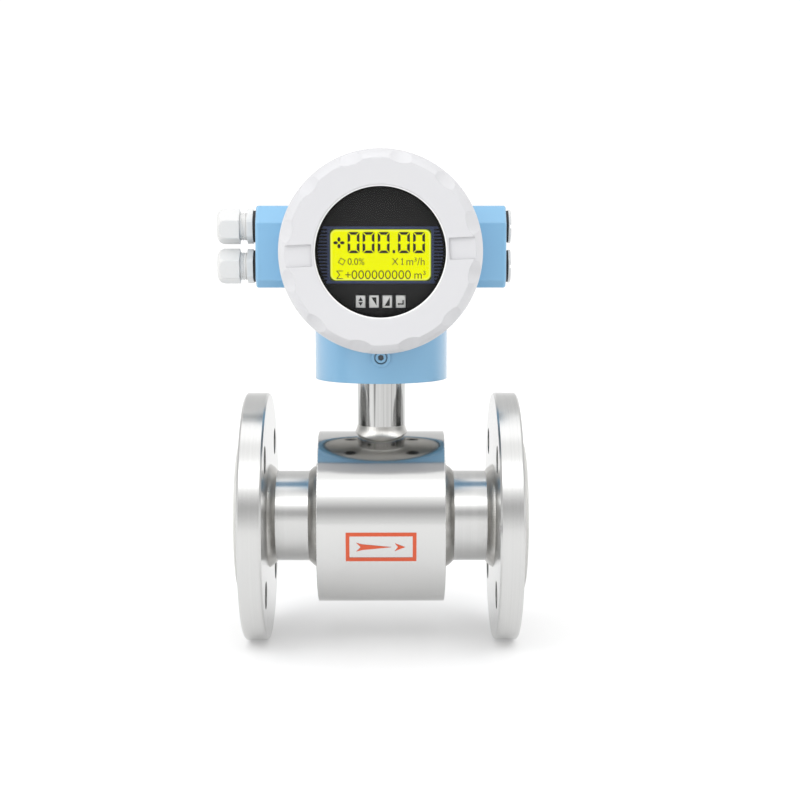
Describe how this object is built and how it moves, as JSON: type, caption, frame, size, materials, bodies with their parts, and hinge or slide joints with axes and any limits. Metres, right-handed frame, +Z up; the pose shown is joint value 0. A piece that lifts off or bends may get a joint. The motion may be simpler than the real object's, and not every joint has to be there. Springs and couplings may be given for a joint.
{
  "type": "electromagnetic flow meter",
  "caption": "Flanged electromagnetic flow meter: lined steel measuring tube in a polished drum, with a blue converter head on a neck, a display under a screwed window cover, glands and plugs.",
  "frame": {"origin": "centre of the flow bore at mid-length", "axes": "+X along the bore with the flow, +Z up through the neck to the converter head, the display faces -Y"},
  "size_m": [0.2023, 0.165, 0.323],
  "materials": {
    "turned_steel": "satin",
    "polished_steel": "polished",
    "weld_metal": "satin",
    "fluoropolymer": "satin",
    "winding_wire": "satin",
    "core_iron": "matte",
    "insulator": "matte",
    "lead_sheath": "matte",
    "mark_paint": "satin",
    "blue_enamel": "satin",
    "white_enamel": "satin",
    "seal_rubber": "matte",
    "window": "gloss",
    "anodised_ring": "satin",
    "dark_panel": "satin",
    "display": "gloss",
    "grey_key": "satin",
    "circuit_board": "satin",
    "plated_spacer": "satin",
    "transformer_iron": "satin",
    "capacitor_can": "gloss",
    "terminal_plastic": "matte",
    "screw_steel": "satin",
    "black_screw": "satin",
    "painted_screw": "satin",
    "nylon": "satin"
  },
  "bodies": {
    "meter_body": {"measuring_tube": "turned_steel", "liner": "fluoropolymer", "flange_inlet": "turned_steel", "flange_outlet": "turned_steel", "weld_beads": "weld_metal", "drum_shell": "polished_steel", "drum_end_inlet": "polished_steel", "drum_end_outlet": "polished_steel", "coil_upper": "winding_wire", "coil_lower": "winding_wire", "pole_shoe_upper": "core_iron", "pole_shoe_lower": "core_iron", "yoke_ring": "core_iron", "electrode_front": "screw_steel", "electrode_rear": "screw_steel", "electrode_sleeves": "insulator", "electrode_nuts": "screw_steel", "neck_tube": "polished_steel", "neck_plate": "turned_steel", "neck_screws": "black_screw", "neck_seal": "seal_rubber", "coil_lead": "lead_sheath", "electrode_leads": "lead_sheath", "flow_mark": "mark_paint", "housing": "blue_enamel", "lock_screw": "painted_screw", "display_plate": "dark_panel", "display_module": "display", "display_board": "circuit_board", "board_pillars": "plated_spacer", "main_board": "circuit_board", "transformer": "transformer_iron", "capacitors": "capacitor_can", "feedthrough_plug": "insulator", "terminal_block": "terminal_plastic", "terminal_screws": "screw_steel", "gland_washers": "seal_rubber", "gland_body_upper": "nylon", "gland_body_lower": "nylon"},
    "front_seal": {"front_cover_seal": "seal_rubber"},
    "front_cover": {"front_cover": "white_enamel", "window_gasket": "seal_rubber", "window_glass": "window", "window_retainer": "anodised_ring"},
    "rear_seal": {"rear_cover_seal": "seal_rubber"},
    "rear_cover": {"rear_cover": "white_enamel"},
    "key_1": {"key_1": "grey_key"},
    "key_2": {"key_2": "grey_key"},
    "key_3": {"key_3": "grey_key"},
    "key_4": {"key_4": "grey_key"},
    "gland_insert_upper": {"gland_insert_upper": "seal_rubber"},
    "gland_nut_upper": {"gland_nut_upper": "nylon"},
    "plug_washer_upper": {"plug_washer_upper": "seal_rubber"},
    "plug_upper": {"plug_upper": "nylon"},
    "gland_insert_lower": {"gland_insert_lower": "seal_rubber"},
    "gland_nut_lower": {"gland_nut_lower": "nylon"},
    "plug_washer_lower": {"plug_washer_lower": "seal_rubber"},
    "plug_lower": {"plug_lower": "nylon"}
  },
  "joints": [
    {"name": "front_cover_advance", "type": "slide", "parent": "meter_body", "child": "front_seal", "axis": [0, -1, 0], "range_m": [0, 0.0121]},
    {"name": "front_cover_turn", "type": "hinge", "parent": "front_seal", "child": "front_cover", "pos_m": [0, -0.06, 0.1775], "axis": [0, -1, 0], "range_deg": [0, 2160]},
    {"name": "rear_cover_advance", "type": "slide", "parent": "meter_body", "child": "rear_seal", "axis": [0, 1, 0], "range_m": [0, 0.0121]},
    {"name": "rear_cover_turn", "type": "hinge", "parent": "rear_seal", "child": "rear_cover", "pos_m": [0, 0.055, 0.1775], "axis": [0, 1, 0], "range_deg": [0, 2160]},
    {"name": "gland_nut_upper_advance", "type": "slide", "parent": "meter_body", "child": "gland_insert_upper", "axis": [-1, 0, 0], "range_m": [0, 0.006]},
    {"name": "gland_nut_upper_turn", "type": "hinge", "parent": "gland_insert_upper", "child": "gland_nut_upper", "pos_m": [-0.1, 0, 0.1929], "axis": [-1, 0, 0], "range_deg": [0, 1460]},
    {"name": "plug_upper_advance", "type": "slide", "parent": "meter_body", "child": "plug_washer_upper", "axis": [1, 0, 0], "range_m": [0, 0.012]},
    {"name": "plug_upper_turn", "type": "hinge", "parent": "plug_washer_upper", "child": "plug_upper", "pos_m": [0.083, 0, 0.1929], "axis": [1, 0, 0], "range_deg": [0, 2900]},
    {"name": "gland_nut_lower_advance", "type": "slide", "parent": "meter_body", "child": "gland_insert_lower", "axis": [-1, 0, 0], "range_m": [0, 0.006]},
    {"name": "gland_nut_lower_turn", "type": "hinge", "parent": "gland_insert_lower", "child": "gland_nut_lower", "pos_m": [-0.1, 0, 0.1669], "axis": [-1, 0, 0], "range_deg": [0, 1460]},
    {"name": "plug_lower_advance", "type": "slide", "parent": "meter_body", "child": "plug_washer_lower", "axis": [1, 0, 0], "range_m": [0, 0.012]},
    {"name": "plug_lower_turn", "type": "hinge", "parent": "plug_washer_lower", "child": "plug_lower", "pos_m": [0.083, 0, 0.1669], "axis": [1, 0, 0], "range_deg": [0, 2900]},
    {"name": "key_1_press", "type": "slide", "parent": "meter_body", "child": "key_1", "axis": [0, 1, 0], "range_m": [0, 0.0005], "stiffness_N_per_m": 400, "springref_m": -0.0005},
    {"name": "key_2_press", "type": "slide", "parent": "meter_body", "child": "key_2", "axis": [0, 1, 0], "range_m": [0, 0.0005], "stiffness_N_per_m": 400, "springref_m": -0.0005},
    {"name": "key_3_press", "type": "slide", "parent": "meter_body", "child": "key_3", "axis": [0, 1, 0], "range_m": [0, 0.0005], "stiffness_N_per_m": 400, "springref_m": -0.0005},
    {"name": "key_4_press", "type": "slide", "parent": "meter_body", "child": "key_4", "axis": [0, 1, 0], "range_m": [0, 0.0005], "stiffness_N_per_m": 400, "springref_m": -0.0005}
  ],
  "couplings": [
    {"joint": "front_cover_advance", "follows": "front_cover_turn", "m_per_rad": 0.00031831},
    {"joint": "rear_cover_advance", "follows": "rear_cover_turn", "m_per_rad": 0.00031831},
    {"joint": "gland_nut_upper_turn", "follows": "gland_nut_upper_advance", "rad_per_m": 4188.8},
    {"joint": "plug_upper_turn", "follows": "plug_upper_advance", "rad_per_m": 4188.8},
    {"joint": "gland_nut_lower_turn", "follows": "gland_nut_lower_advance", "rad_per_m": 4188.8},
    {"joint": "plug_lower_turn", "follows": "plug_lower_advance", "rad_per_m": 4188.8}
  ]
}
